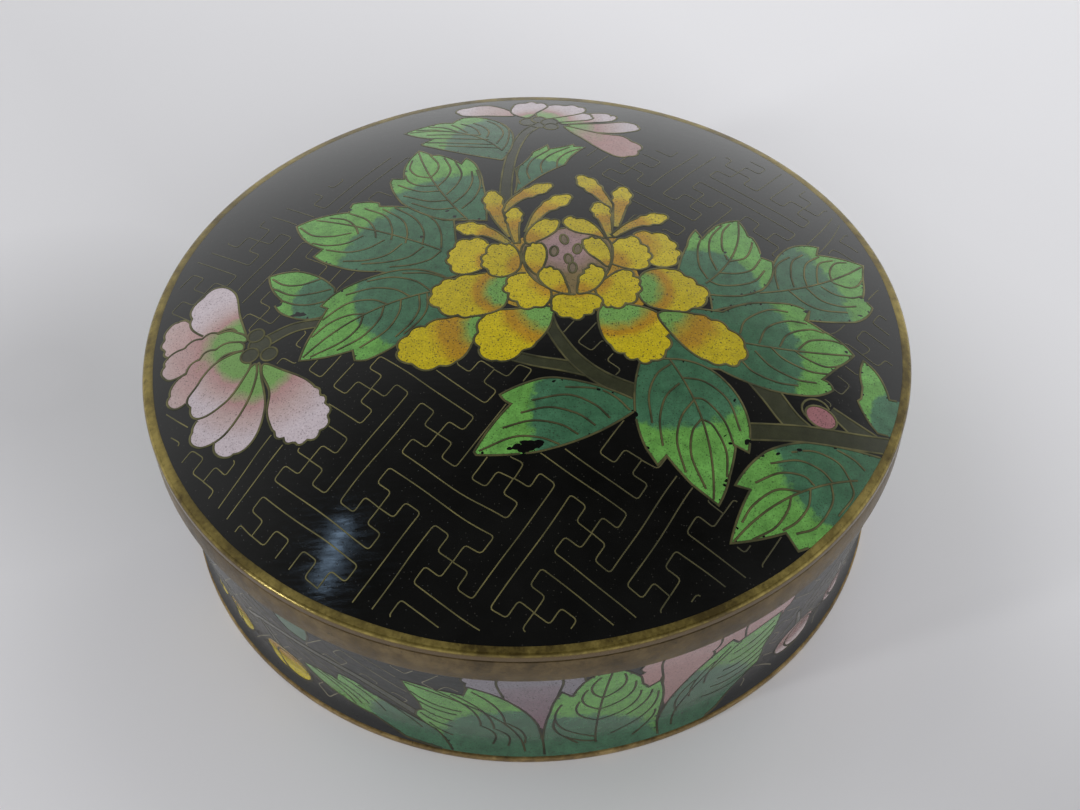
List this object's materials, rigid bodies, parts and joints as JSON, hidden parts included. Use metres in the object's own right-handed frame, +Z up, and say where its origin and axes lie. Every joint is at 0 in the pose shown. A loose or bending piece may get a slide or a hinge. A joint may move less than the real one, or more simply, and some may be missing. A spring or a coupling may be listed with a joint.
{
  "type": "round enamelled box with a loose domed lid",
  "caption": "Round cloisonne box with a loose domed lid, brass rims and a brass foot ring: black enamel with flowers, leaves and a key fret, hollow and empty inside.",
  "frame": {"origin": "centre of the foot ring's underside, on the surface that the box stands on", "axes": "+Z up along the box's axis; -Y is the front as pictured, and +X its right"},
  "size_m": [0.114, 0.114, 0.0413],
  "materials": {
    "enamel": "gloss",
    "brass": "aged satin"
  },
  "bodies": {
    "root": {"lid_shell": "enamel", "lid_rim": "brass", "base_shell": "enamel", "base_rim": "brass", "foot_ring": "brass"}
  },
  "joints": []
}
